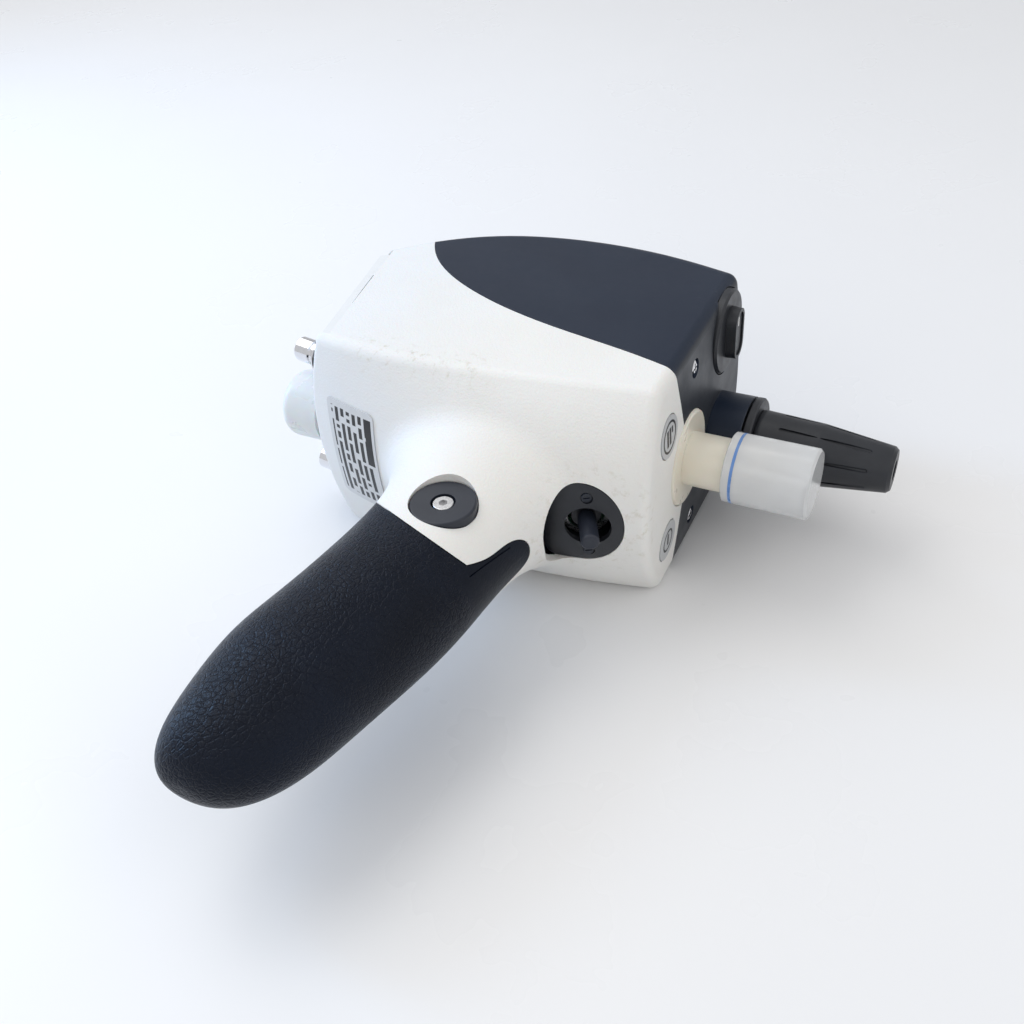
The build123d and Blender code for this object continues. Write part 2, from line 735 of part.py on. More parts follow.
def build_joystick_housing():
    x, half = STICK_X, HOUSING_HALF
    housing = block(x - half, x + half, HOUSING_FRONT_Y, HOUSING_BACK_Y, -half, half)
    housing -= block(x - 8.7, x + 8.7, HOUSING_FRONT_Y - 3, HOUSING_BACK_Y + 1, -8.7, 8.7)
    housing -= rod_x(1.05, x - 20, x + 20, GIMBAL_Y)
    for side in (1, -1):
        housing -= rod_y(1.0, -45, -34, x, side * BEZEL_SCREW_Z)
    return largest(turn_joystick(housing) & body_envelope(WALL + 0.15))


def build_joystick_board():
    board = block(STICK_X - 13, STICK_X + 13, HOUSING_BACK_Y, HOUSING_BACK_Y + 1.2, -13, 13)
    return turn_joystick(board)


def build_gimbal_ring():
    ring = rod_y(8.0, GIMBAL_Y - 1.5, GIMBAL_Y + 1.5, STICK_X) - rod_y(6.2, -50, -30, STICK_X)
    for side in (1, -1):
        ring += rod_x(1.0, STICK_X + side * 7, STICK_X + side * 12, GIMBAL_Y)
    return turn_joystick(ring - rod_z(1.05, -10, 10, STICK_X, GIMBAL_Y))


def build_stick_carrier():
    hub = rod_y(4.8, GIMBAL_Y - 2, GIMBAL_Y + 2, STICK_X)
    hub += rod_z(1.0, -7.8, 7.8, STICK_X, GIMBAL_Y)
    return turn_joystick(hub - rod_y(STICK_SHAFT_R + 0.05, -50, -30, STICK_X))


def build_joystick_stick():
    """The stick: a soft cap with a rounded end on a slim shaft."""
    tip_y = STICK_TIP_Y
    stick = rod_y(STICK_R, tip_y, GIMBAL_Y - 3.4, STICK_X)
    stick = fillet(stick.edges().filter_by_position(Axis.Y, tip_y - 0.1, tip_y + 0.1), 0.9)
    stick += rod_y(STICK_SHAFT_R, GIMBAL_Y - 4, GIMBAL_Y + 5.2, STICK_X)
    stick += rod_y(STICK_R + 0.3, GIMBAL_Y + 2.3, GIMBAL_Y + 3.8, STICK_X)
    return turn_joystick(stick)


# ---- Optics ---------------------------------------------------------------------------------


def along_mirror(y):
    """Places a piece drawn along +X so that it lies along the mirrors' common direction."""
    return Pos(FOLD_X, y, 0) * Rot(0, 0, 45)


def build_scan_motor_1():
    motor = rod_x(8.0, 14, 36) - rod_x(SHAFT_R + 0.05, 13, 33)
    return along_mirror(0) * motor


def build_scan_rotor_1():
    return along_mirror(0) * (rod_x(SHAFT_R, 8, 32) + block(6.0, 9.0, -1.6, 1.6, -4, 4))


def build_scan_mirror_1():
    return along_mirror(0) * block(-6.0, 6.0, 0, 1.2, -5, 5)


def build_motor_clamp_1():
    clamp = block(20, 28, -10, 10, BENCH_Z1, 10.5) - rod_x(8.0, 10, 40)
    return along_mirror(0) * clamp


def build_scan_motor_2():
    return rod_z(8.0, 12, 34, FOLD_X, EXIT_Y) - rod_z(SHAFT_R + 0.05, 10, 31, FOLD_X, EXIT_Y)


def build_scan_rotor_2():
    rotor = rod_z(SHAFT_R, 8, 30, FOLD_X, EXIT_Y)
    return rotor + along_mirror(EXIT_Y) * block(-4, 4, -1.6, 1.6, 6, 9)


def build_scan_mirror_2():
    return along_mirror(EXIT_Y) * block(-6.0, 6.0, -1.2, 0, -6, 6)


def build_motor_clamp_2():
    x, y = FOLD_X, EXIT_Y
    arm = block(x - 18, x + 10, y - 10, y + 10, 14, 20) - rod_z(8.0, 10, 40, x, y)
    return arm + block(x - 18, x - 13, y - 10, y - 6, BENCH_Z1, 15)


def build_optical_bench():
    bench = block(-113, -24, -28, 44, BENCH_Z0, BENCH_Z1)
    bench += block(-24, -19, -16, 16, BENCH_Z0, 13)
    bench -= rod_x(TUBE_R + 0.02, -30, -10)
    for x, y in WHITE_POSTS + BLACK_POSTS:
        bench -= rod_z(1.6, -40, 0, x, y)
    return bench


def build_bench_screws():
    screws = []
    for x, y in WHITE_POSTS + BLACK_POSTS:
        screw = rod_z(2.8, BENCH_Z1, BENCH_Z1 + 2.2, x, y) + rod_z(1.2, -35, BENCH_Z1, x, y)
        screws.append(screw - rod_z(1.2, BENCH_Z1 + 1, BENCH_Z1 + 3, x, y))
    return Compound(children=screws)


# ---- Electronics ----------------------------------------------------------------------------


def build_circuit_board():
    board = block(-106, -26, 0, 44, BOARD_Z, BOARD_Z + 1.6)
    for x, y in STANDOFFS:
        board -= rod_z(1.6, 0, 40, x, y)
    return board


def build_board_components():
    top = BOARD_Z + 1.6
    boxes = []
    for x, y, dx, dy, dz in COMPONENTS:
        boxes.append(block(x - dx / 2, x + dx / 2, y - dy / 2, y + dy / 2, top, top + dz))
    return Compound(children=boxes)


def build_standoffs():
    posts = []
    for x, y in STANDOFFS:
        post = Pos(x, y, BENCH_Z1) * extrude(RegularPolygon(2.9, 6), BOARD_Z - BENCH_Z1)
        posts.append(post + rod_z(1.5, BOARD_Z - 1, BOARD_Z + 3.2, x, y))
    return Compound(children=posts)


# ---- Handle ---------------------------------------------------------------------------------


def build_handle_skin():
    skin = grip_envelope() & handle_side(GAP)
    skin -= grip_envelope(GRIP_WALL, 2, len(GRIP) - 2)
    fin = (fin_side() & grip_envelope(0.0, 1, 6)) - handle_side(GAP + 3.0)
    fin -= grip_envelope(GRIP_WALL, 1, 6)
    mark = Pos(-34, -79, 7.6) * Rot(-9.3, 0, 0) * Box(12, 19.2, 0.5) - grip_envelope(0.4, 1, 6)
    return largest(skin + fin - mark)


def build_handle_core():
    """A flat tongue between the cheeks, on a tube with ribs that fill the skin."""
    tongue = block(CLAMP_X - 13, CLAMP_X + 13, -96, -52, GAP - CHEEK_Z, CHEEK_Z - GAP)
    tongue = fillet(tongue.edges().filter_by(Axis.Z), 6) & grip_envelope(GRIP_WALL + 0.3, 1, 6)
    start = Vector(-61.5, -90, 0)
    end = Vector(-75, -164, 0)
    place = Plane(origin=start, z_dir=end - start)
    length = (end - start).length
    tube = place * (Pos(0, 0, length / 2) * Cylinder(11, length))
    inner = grip_envelope(GRIP_WALL + 0.05, 2, len(GRIP) - 2)
    ribs = Part()
    for y in (-106, -132, -157):
        ribs += block(-130, 0, y - 2, y + 2, -40, 40) & inner
    core = tongue + (tube & inner) + ribs
    core -= place * (Pos(0, 0, length / 2 + 4) * Cylinder(7.5, length))
    return core - rod_z(2.2, -40, 40, CLAMP_X, CLAMP_Y)


def build_clamp_discs():
    disc = rod_z(DISC_R, DISC_TOP_Z - DISC_T, DISC_TOP_Z, CLAMP_X, CLAMP_Y)
    disc = fillet(disc.edges().filter_by_position(Axis.Z, DISC_TOP_Z - 0.1, DISC_TOP_Z + 0.1), 0.7)
    disc -= rod_z(HEAD_R + 0.6, DISC_TOP_Z - 2.2, 30, CLAMP_X, CLAMP_Y)
    disc -= rod_z(2.2, 0, 30, CLAMP_X, CLAMP_Y)
    return Compound(children=[disc, mirror(disc, about=Plane.XY)])


def build_clamp_screw():
    top = DISC_TOP_Z - 0.3
    screw = rod_z(HEAD_R, DISC_TOP_Z - 2.2, top, CLAMP_X, CLAMP_Y)
    screw = fillet(screw.edges().filter_by_position(Axis.Z, top - 0.1, top + 0.1), 0.3)
    screw += rod_z(2.0, -19.5, DISC_TOP_Z - 2, CLAMP_X, CLAMP_Y)
    return screw - Pos(CLAMP_X, CLAMP_Y, top - 1.4) * extrude(RegularPolygon(1.5, 6), 3)


def build_clamp_nut():
    nut = Pos(CLAMP_X, CLAMP_Y, -DISC_TOP_Z + 0.4) * extrude(RegularPolygon(3.5, 6), 1.8)
    return nut - rod_z(2.02, -30, 0, CLAMP_X, CLAMP_Y)


# ---- Everything -----------------------------------------------------------------------------

PIECES = {
    "white_shell": build_white_shell,
    "black_shell": build_black_shell,
    "shell_screws": build_shell_screws,
    "nose_plate": build_nose_plate,
    "guide_pins": build_guide_pins,
    "front_bracket": build_front_bracket,
    "exit_tube": build_exit_tube,
    "exit_window": build_exit_window,
    "window_retainer": build_window_retainer,
    "nozzle_cap": build_nozzle_cap,
    "nameplate": build_nameplate,
    "input_tube": build_input_tube,
    "input_lens": build_input_lens,
    "lens_retainer": lambda: ring_x(TUBE_BORE_R, TUBE_BORE_R - 1.2, -19.5, -17),
    "flange_gasket": lambda: ring_x(FLANGE_R - 0.8, TUBE_R + 0.5, SEAT_X, -FLANGE_T),
    "flange_nut": lambda: ring_x(14.0, TUBE_R + 0.02, -12.0, PAD_X),
    "clear_cap": build_clear_cap,
    "cap_ring": build_cap_ring,
    "outlet_socket": build_outlet_socket,
    "socket_contacts": build_socket_contacts,
    "cable_collar": build_cable_collar,
    "cable_sleeve": build_cable_sleeve,
    "plug_contacts": build_plug_contacts,
    "selector_knob": build_selector_knob,
    "rotary_switch": build_rotary_switch,
    "ready_key": lambda: build_key(1),
    "standby_key": lambda: build_key(-1),
    "key_board": build_key_board,
    "key_switches": build_key_switches,
    "joystick_bezel": build_joystick_bezel,
    "bezel_screws": build_bezel_screws,
    "joystick_housing": build_joystick_housing,
    "joystick_board": build_joystick_board,
    "gimbal_ring": build_gimbal_ring,
    "stick_carrier": build_stick_carrier,
    "joystick_stick": build_joystick_stick,
    "optical_bench": build_optical_bench,
    "bench_screws": build_bench_screws,
    "scan_motor_1": build_scan_motor_1,
    "scan_rotor_1": build_scan_rotor_1,
    "scan_mirror_1": build_scan_mirror_1,
    "motor_clamp_1": build_motor_clamp_1,
    "scan_motor_2": build_scan_motor_2,
    "scan_rotor_2": build_scan_rotor_2,
    "scan_mirror_2": build_scan_mirror_2,
    "motor_clamp_2": build_motor_clamp_2,
    "circuit_board": build_circuit_board,
    "board_components": build_board_components,
    "standoffs": build_standoffs,
    "handle_skin": build_handle_skin,
    "handle_core": build_handle_core,
    "clamp_discs": build_clamp_discs,
    "clamp_screw": build_clamp_screw,
    "clamp_nut": build_clamp_nut,
}

os.makedirs("parts", exist_ok=True)
for name, build in PIECES.items():
    export_step(build(), f"parts/{name}.step")
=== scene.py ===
"""Looks of a hand-held medical laser scanner handpiece that lies on its side.

Metres, in the CAD model's frame: +X out along the input tube, +Y away from the handle, +Z up.
"""

import json
import math

import bmesh
import bpy
from mathutils import Matrix, Vector
from mathutils.bvhtree import BVHTree


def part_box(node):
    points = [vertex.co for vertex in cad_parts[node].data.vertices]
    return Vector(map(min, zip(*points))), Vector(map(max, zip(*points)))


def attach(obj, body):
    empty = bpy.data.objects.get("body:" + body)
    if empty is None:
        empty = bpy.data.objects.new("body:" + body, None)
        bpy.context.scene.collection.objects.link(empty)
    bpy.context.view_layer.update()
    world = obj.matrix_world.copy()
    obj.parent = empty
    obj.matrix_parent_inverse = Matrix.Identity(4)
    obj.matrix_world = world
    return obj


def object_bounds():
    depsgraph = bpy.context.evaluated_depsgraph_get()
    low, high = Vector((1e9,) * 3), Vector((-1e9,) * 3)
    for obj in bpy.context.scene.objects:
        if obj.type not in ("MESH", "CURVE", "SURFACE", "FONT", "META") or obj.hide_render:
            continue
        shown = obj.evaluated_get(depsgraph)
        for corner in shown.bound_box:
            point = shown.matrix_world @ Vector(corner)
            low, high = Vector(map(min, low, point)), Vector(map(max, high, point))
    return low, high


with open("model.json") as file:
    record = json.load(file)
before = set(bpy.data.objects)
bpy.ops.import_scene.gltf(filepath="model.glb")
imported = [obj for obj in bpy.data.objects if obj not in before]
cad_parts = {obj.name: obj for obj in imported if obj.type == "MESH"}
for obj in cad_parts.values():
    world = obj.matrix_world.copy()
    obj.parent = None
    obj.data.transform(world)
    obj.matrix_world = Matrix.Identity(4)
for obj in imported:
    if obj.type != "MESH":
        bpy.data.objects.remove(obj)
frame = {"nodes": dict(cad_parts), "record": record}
CAD_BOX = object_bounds()
NODES = frame["nodes"]
MM = 0.001

# ---- Camera: the place, the direction it looks back along, and its roll ------------------------
CAMERA_PLACE = Vector((93.4, -294.7, 234.7)) * MM
CAMERA_AZIMUTH = math.radians(29.17)
CAMERA_ELEVATION = math.radians(39.66)
CAMERA_ROLL = math.radians(-5.49)
CAMERA_LENS = 39.55

# ---- Driving places, from the CAD model ---------------------------------------------------------
NEAR_RIDGE = Vector((0, -31, 41)) * MM
STICK_CENTRE = Vector((-18.5, -45.6, 0)) * MM
MARK_DEPTH = 0.12 * MM
MARK_PROUD = 0.04 * MM
RAY_START_X = 0.2
LABEL_ROWS = 8.0
LABEL_CELLS = 30.0
LABEL_BAR_START = 0.42
LABEL_GAPS = 0.22

# ---- Stage sizes: the floor runs level, then curves up behind the object ------------------------
FLOOR_LEVEL_RUN = (-1.6, -0.4, 0.6, 1.6)
FLOOR_HALF_WIDTH = 2.6
FLOOR_CURVE_R = 0.9
FLOOR_CURVE_STEPS = 8
FLOOR_TOP = 2.4
LIGHT_AIM = Vector((-0.06, -0.04, 0.0))
WORLD_COLOUR = (0.97, 0.98, 1.0, 1)
WORLD_STRENGTH = 0.70

# Each light: name, place, size, power in watts, colour.
LIGHTS = (
    ("key_light", (-0.75, 0.15, 1.05), (1.3, 1.1), 7.0, (1.0, 0.985, 0.96)),
    ("fill_light", (0.75, -0.15, 0.70), (0.9, 0.9), 1.6, (1.0, 0.96, 0.91)),
    ("front_light", (-0.25, -0.85, 0.65), (0.8, 0.4), 1.0, (1.0, 0.99, 0.98)),
    ("side_light", (-0.85, -0.05, 0.34), (0.14, 0.7), 3.2, (0.34, 0.60, 1.0)),
)

# ---- Colours ------------------------------------------------------------------------------------
WARM_WHITE = (0.80, 0.79, 0.76, 1)
# Painted shade: the cooler white that the shell fades to towards the nose.
SHADED_COOL_WHITE = (0.76, 0.775, 0.785, 1)
STAIN = (0.50, 0.45, 0.34, 1)
SHELL_BLACK = (0.012, 0.019, 0.036, 1)
# Painted light: the lighter grey laid on the black shell's end face.
END_FACE_PAINTED_GREY = (0.026, 0.030, 0.038, 1)
GRIP_NAVY = (0.002, 0.004, 0.010, 1)
GRIP_BLUE = (0.004, 0.008, 0.019, 1)
IVORY = (0.80, 0.76, 0.66, 1)
SILVER = (0.56, 0.57, 0.58, 1)
INK = (0.02, 0.02, 0.022, 1)


def make_camera():
    """A camera at the given place, with its axes built from azimuth, elevation and roll."""
    a, e, r = CAMERA_AZIMUTH, CAMERA_ELEVATION, CAMERA_ROLL
    back = Vector((math.sin(a) * math.cos(e), -math.cos(a) * math.cos(e), math.sin(e)))
    right = Vector((math.cos(a), math.sin(a), 0))
    up = back.cross(right)
    side = math.cos(r) * right + math.sin(r) * up
    top = math.cos(r) * up - math.sin(r) * right
    data = bpy.data.cameras.new("camera")
    data.sensor_width = 36
    data.lens = CAMERA_LENS
    data.clip_start = 0.01
    camera = bpy.data.objects.new("camera", data)
    turn = Matrix((side, top, back)).transposed().to_4x4()
    camera.matrix_world = Matrix.Translation(CAMERA_PLACE) @ turn
    bpy.context.scene.collection.objects.link(camera)
    bpy.context.scene.camera = camera


make_camera()


# ---- Material building --------------------------------------------------------------------------


class Graph:
    """A material's node tree, built by short calls. Lengths are in metres."""

    def __init__(self, name):
        self.material = bpy.data.materials.new(name)
        self.material.use_nodes = True
        self.tree = self.material.node_tree
        self.shader = self.tree.nodes["Principled BSDF"]
        self.place = self.add("ShaderNodeTexCoord").outputs["Object"]
        self.x, self.y, self.z = self.split(self.place)

    def plug(self, socket, value):
        """Links a socket, or sets a plain value."""
        if isinstance(value, bpy.types.NodeSocket):
            self.tree.links.new(value, socket)
        else:
            socket.default_value = value

    def add(self, kind, settings=(), inputs=()):
        """A new node with its settings and inputs."""
        node = self.tree.nodes.new(kind)
        for key, value in dict(settings).items():
            setattr(node, key, value)
        for key, value in dict(inputs).items():
            self.plug(node.inputs[key], value)
        return node

    def split(self, vector):
        node = self.add("ShaderNodeSeparateXYZ", inputs={0: vector})
        return node.outputs[0], node.outputs[1], node.outputs[2]

    def math(self, operation, a, b=0.0):
        return self.add("ShaderNodeMath", {"operation": operation}, {0: a, 1: b}).outputs[0]

    def stretch(self, scale):
        """The place with each axis scaled."""
        node = self.add("ShaderNodeMapping", inputs={"Vector": self.place, "Scale": scale})
        return node.outputs[0]

    def noise(self, scale, detail=4.0, roughness=0.55, distortion=0.0, place=None):
        inputs = {
            "Vector": place or self.place,
            "Scale": scale,
            "Detail": detail,
            "Roughness": roughness,
            "Distortion": distortion,
        }
        return self.add("ShaderNodeTexNoise", inputs=inputs).outputs[0]

    def cells(self, scale, feature="F1", place=None):
        inputs = {"Vector": place or self.place, "Scale": scale}
        node = self.add("ShaderNodeTexVoronoi", {"feature": feature}, inputs)
        return node.outputs["Distance"]

    def warped(self, scale, amount):
        """The place, pushed about by a noise."""
        node = self.add("ShaderNodeTexNoise", inputs={"Vector": self.place, "Scale": scale, "Detail": 3})
        shifted = self.add(
            "ShaderNodeVectorMath",
            {"operation": "MULTIPLY_ADD"},
            {0: node.outputs["Color"], 1: (amount,) * 3, 2: self.place},
        )
        return shifted.outputs[0]

    def ramp(self, value, low, high, at_low=0.0, at_high=1.0):
        """A smooth step from at_low to at_high."""
        inputs = {"Value": value, "From Min": low, "From Max": high, "To Min": at_low, "To Max": at_high}
        node = self.add("ShaderNodeMapRange", {"interpolation_type": "SMOOTHSTEP"}, inputs)
        return node.outputs[0]

    def mix(self, factor, a, b):
        node = self.add("ShaderNodeMix", {"data_type": "RGBA"})
        self.plug(node.inputs[0], factor)
        self.plug(node.inputs[6], a)
        self.plug(node.inputs[7], b)
        return node.outputs[2]

    def product(self, *factors):
        value = factors[0]
        for factor in factors[1:]:
            value = self.math("MULTIPLY", value, factor)
        return value

    def distance(self, centre, axes="xyz"):
        """Distance from a point, or from a line when an axis is left out."""
        total = 0.0
        for axis, value, middle in zip("xyz", (self.x, self.y, self.z), centre):
            if axis in axes:
                offset = self.math("SUBTRACT", value, middle)
                total = self.math("ADD", self.math("MULTIPLY", offset, offset), total)
        return self.math("SQRT", total)

    def bump(self, height, depth, normal=None):
        inputs = {"Height": height, "Distance": depth, "Strength": 1.0}
        if normal is not None:
            inputs["Normal"] = normal
        return self.add("ShaderNodeBump", inputs=inputs).outputs[0]

    def edges(self, radius=0.6 * MM):
        """1 along rounded-over edges and 0 elsewhere."""
        bevel = self.add("ShaderNodeBevel", {"samples": 4}, {"Radius": radius}).outputs[0]
        flat = self.add("ShaderNodeNewGeometry").outputs["Normal"]
        dot = self.add("ShaderNodeVectorMath", {"operation": "DOT_PRODUCT"}, {0: bevel, 1: flat})
        return self.ramp(dot.outputs["Value"], 0.995, 0.90)

    def finish(self, **sockets):
        """Sets the shader's sockets, and returns the material."""
        for name, value in sockets.items():
            self.plug(self.shader.inputs[name.replace("_", " ")], value)
        return self.material


# ---- Materials ----------------------------------------------------------------------------------


def pebble(graph, pitch, depth):
    """The fine rounded grain of moulded or sprayed plastic."""
    grain = graph.cells(1 / pitch, "SMOOTH_F1", graph.warped(400, 0.0006))
    fine = graph.noise(2.2 / pitch, 2)
    height = graph.math("ADD", graph.ramp(grain, 0.0, 0.75), graph.math("MULTIPLY", fine, 0.5))
    return graph.bump(height, depth)


def white_shell_material():
    """Warm white, sprayed and pebbled, with painted cool shade towards the nose, and with handling marks.
    """
    g = Graph("shell_white")
    # Painted shade: the white turns cooler and slightly darker towards the nose.
    base = g.mix(g.ramp(g.x, -0.125, -0.05), SHADED_COOL_WHITE, WARM_WHITE)
    cloud = g.noise(28, 5)
    base = g.mix(g.ramp(cloud, 0.35, 0.75, 0.0, 0.22), base, (0.70, 0.675, 0.61, 1))
    speck = g.ramp(g.noise(900, 3, 0.7), 0.62, 0.75)
    blot = g.ramp(g.noise(300, 6, 0.7), 0.52, 0.70)
    ridge = g.ramp(g.distance(NEAR_RIDGE, "yz"), 0.012, 0.001)
    along = g.product(g.ramp(g.x, -0.118, -0.098), g.ramp(g.x, -0.045, -0.07))
    worn = g.product(ridge, along, g.math("MAXIMUM", g.product(blot, 0.55), g.product(speck, 0.5)))
    plate = g.distance(STICK_CENTRE)
    halo = g.product(g.ramp(plate, 0.027, 0.018), blot, 0.40)
    dust = g.product(speck, g.ramp(g.noise(45, 3), 0.5, 0.7), 0.22)
    marks = g.math("MAXIMUM", g.math("MAXIMUM", worn, halo), dust)
    colour = g.mix(marks, base, STAIN)
    rough = g.ramp(g.noise(60, 4), 0.3, 0.7, 0.46, 0.60)
    return g.finish(
        Base_Color=colour,
        Roughness=rough,
        Normal=pebble(g, 0.65 * MM, 0.055 * MM),
        Specular_IOR_Level=0.42,
        Subsurface_Weight=0.06,
        Subsurface_Scale=0.002,
    )


def black_shell_material():
    """Dark blue-grey satin with long faint scratches; the end face, picked by the way it faces, is
    painted lighter and greyer as painted light.
    """
    g = Graph("shell_black")
    # Painted light: faces turned along +X, the end face, get a lighter grey.
    normal_x = g.split(g.add("ShaderNodeNewGeometry").outputs["Normal"])[0]
    end_face_light = g.ramp(normal_x, 0.75, 0.92)
    base = g.mix(g.ramp(g.noise(35, 5), 0.3, 0.75), SHELL_BLACK, (0.017, 0.025, 0.043, 1))
    base = g.mix(end_face_light, base, END_FACE_PAINTED_GREY)
    streaks = g.noise(1.0, 4, 0.7, 0.0, g.stretch((90, 700, 700)))
    crossed = g.noise(1.0, 4, 0.7, 0.0, g.stretch((800, 120, 500)))
    scratch = g.math("MAXIMUM", g.ramp(streaks, 0.66, 0.74), g.ramp(crossed, 0.68, 0.76))
    scratch = g.product(scratch, g.ramp(g.noise(40, 3), 0.42, 0.62), 0.45)
    rubbed = g.product(g.edges(1.0 * MM), g.ramp(g.noise(150, 5), 0.45, 0.65), 0.35)
    base = g.mix(g.math("MAXIMUM", scratch, rubbed), base, (0.11, 0.12, 0.14, 1))
    rough = g.math("ADD", g.ramp(g.noise(70, 5), 0.3, 0.7, 0.34, 0.46), g.product(scratch, 0.3))
    return g.finish(
        Base_Color=base,
        Roughness=rough,
        Normal=pebble(g, 0.42 * MM, 0.008 * MM),
        Specular_IOR_Level=0.24,
    )


def grip_material():
    """Soft dark plastic with a leather grain that fades out on the smooth tang."""
    g = Graph("grip_leather")
    place = g.warped(260, 0.0016)
    wide = g.cells(500, "DISTANCE_TO_EDGE", place)
    fine = g.cells(1250, "DISTANCE_TO_EDGE", place)
    creases = g.math("ADD", g.ramp(wide, 0.0, 0.16), g.product(g.ramp(fine, 0.0, 0.2), 0.35))
    height = g.math("ADD", creases, g.product(g.noise(2600, 2), 0.25))
    tang = g.product(g.ramp(g.x, -0.042, -0.038), g.ramp(g.y, -0.098, -0.09))
    smooth = g.ramp(tang, 0.0, 1.0, 1.0, 0.12)
    base = g.mix(g.ramp(g.noise(22, 4), 0.3, 0.7), GRIP_NAVY, GRIP_BLUE)
    worn = g.product(g.ramp(wide, 0.10, 0.30), g.ramp(g.noise(30, 4), 0.45, 0.7), 0.3)
    base = g.mix(worn, base, (0.016, 0.022, 0.034, 1))
    rough = g.ramp(g.noise(55, 4), 0.3, 0.7, 0.29, 0.38)
    return g.finish(
        Base_Color=base,
        Roughness=rough,
        Normal=g.bump(g.product(height, smooth), 0.15 * MM),
        Specular_IOR_Level=0.15,
    )


def moulded_material(name, colour, low=0.38, high=0.5, pitch=0.35 * MM, depth=0.008 * MM, tint=0.25):
    """Plain moulded plastic with a fine grain, cloudy gloss and rubbed edges."""
    g = Graph(name)
    lighter = tuple(min(1.0, channel * 1.5 + 0.012) for channel in colour[:3]) + (1,)
    base = g.mix(g.ramp(g.noise(90, 5), 0.35, 0.75, 0.0, tint), colour, lighter)
    rubbed = g.product(g.edges(0.4 * MM), g.ramp(g.noise(300, 4), 0.4, 0.65), 0.3)
    base = g.mix(rubbed, base, lighter)
    return g.finish(
        Base_Color=base,
        Roughness=g.ramp(g.noise(140, 4), 0.3, 0.7, low, high),
        Normal=pebble(g, pitch, depth),
    )


def ivory_material():
    """Smooth ivory plastic with a faint yellowing."""
    g = Graph("ivory_plastic")
    base = g.mix(g.ramp(g.noise(40, 5), 0.35, 0.7, 0.0, 0.6), IVORY, (0.74, 0.68, 0.55, 1))
    grime = g.product(g.edges(0.7 * MM), g.ramp(g.noise(260, 4), 0.4, 0.7), 0.25)
    base = g.mix(grime, base, (0.46, 0.40, 0.30, 1))
    return g.finish(
        Base_Color=base,
        Roughness=g.ramp(g.noise(80, 4), 0.3, 0.7, 0.26, 0.38),
        Normal=g.bump(g.noise(700, 3), 0.008 * MM),
        Subsurface_Weight=0.12,
        Subsurface_Scale=0.003,
        Coat_Weight=0.15,
        Coat_Roughness=0.2,
    )


def clear_material():
    """Clear plastic gone slightly milky, with drawn lines along the cap."""
    g = Graph("clear_plastic")
    lines = g.noise(1.0, 4, 0.6, 0.0, g.stretch((30, 1400, 1400)))
    haze = g.ramp(g.noise(110, 5), 0.3, 0.75)
    base = g.mix(haze, (0.96, 0.97, 0.975, 1), (0.93, 0.94, 0.95, 1))
    rough = g.math("ADD", g.ramp(lines, 0.35, 0.7, 0.07, 0.17), g.product(haze, 0.07))
    return g.finish(
        Base_Color=base,
        Roughness=rough,
        Normal=g.bump(lines, 0.01 * MM),
        Transmission_Weight=0.50,
        IOR=1.42,
    )


def milky_material():
    """Translucent white plastic, thin and waxy."""
    g = Graph("milky_plastic")
    base = g.mix(g.noise(60, 5), (0.86, 0.88, 0.89, 1), (0.76, 0.79, 0.82, 1))
    return g.finish(
        Base_Color=base,
        Roughness=g.ramp(g.noise(90, 3), 0.3, 0.7, 0.24, 0.36),
        Normal=g.bump(g.noise(500, 3), 0.015 * MM),
        Transmission_Weight=0.12,
        Subsurface_Weight=0.3,
        Subsurface_Scale=0.004,
        IOR=1.46,
    )


def metal_material(name, colour, low, high, stretch, depth=0.004 * MM, stain=0.15):
    """Metal with tool marks along one direction and slight staining."""
    g = Graph(name)
    marks = g.noise(1.0, 5, 0.65, 0.0, g.stretch(stretch))
    darker = tuple(channel * 0.72 for channel in colour[:3]) + (1,)
    base = g.mix(g.ramp(g.noise(220, 5), 0.4, 0.75, 0.0, stain * 3), colour, darker)
    return g.finish(
        Base_Color=base,
        Metallic=1.0,
        Roughness=g.ramp(marks, 0.3, 0.7, low, high),
        Normal=g.bump(marks, depth),
    )


def label_material():
    """Silver film printed with generic bars: rows of dashes and one solid block, with no text."""
    g = Graph("label_film")
    low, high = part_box("nameplate")
    across = g.math("DIVIDE", g.math("SUBTRACT", g.x, low[0]), high[0] - low[0])
    along = g.math("DIVIDE", g.math("SUBTRACT", g.z, low[2]), high[2] - low[2])
    rows = g.product(across, LABEL_ROWS)
    row = g.math("FLOOR", rows)
    line = g.math("GREATER_THAN", g.math("FRACT", rows), LABEL_BAR_START)
    cell = g.math("FLOOR", g.product(along, LABEL_CELLS))
    seed = g.add("ShaderNodeCombineXYZ", inputs={0: row, 1: cell, 2: 3.7}).outputs[0]
    noise = g.add("ShaderNodeTexWhiteNoise", {"noise_dimensions": "3D"}, {"Vector": seed})
    draw = noise.outputs["Value"]
    dash = g.math("GREATER_THAN", draw, LABEL_GAPS)
    inner_across = g.product(g.math("GREATER_THAN", across, 0.09), g.math("LESS_THAN", across, 0.91))
    inner_along = g.product(g.math("GREATER_THAN", along, 0.06), g.math("LESS_THAN", along, 0.94))
    block = g.product(g.math("GREATER_THAN", across, 0.82), g.math("GREATER_THAN", along, 0.50))
    block = g.product(block, inner_along, g.math("LESS_THAN", across, 0.95))
    ink = g.math("MAXIMUM", g.product(line, dash, inner_across, inner_along), block)
    film = g.mix(g.noise(1.0, 4, 0.6, 0.0, g.stretch((300, 300, 40))), SILVER, (0.66, 0.67, 0.68, 1))
    return g.finish(
        Base_Color=g.mix(ink, film, INK),
        Metallic=0.25,
        Roughness=g.ramp(g.noise(130, 4), 0.3, 0.7, 0.30, 0.44),
        Normal=g.bump(g.noise(900, 3), 0.006 * MM),
    )


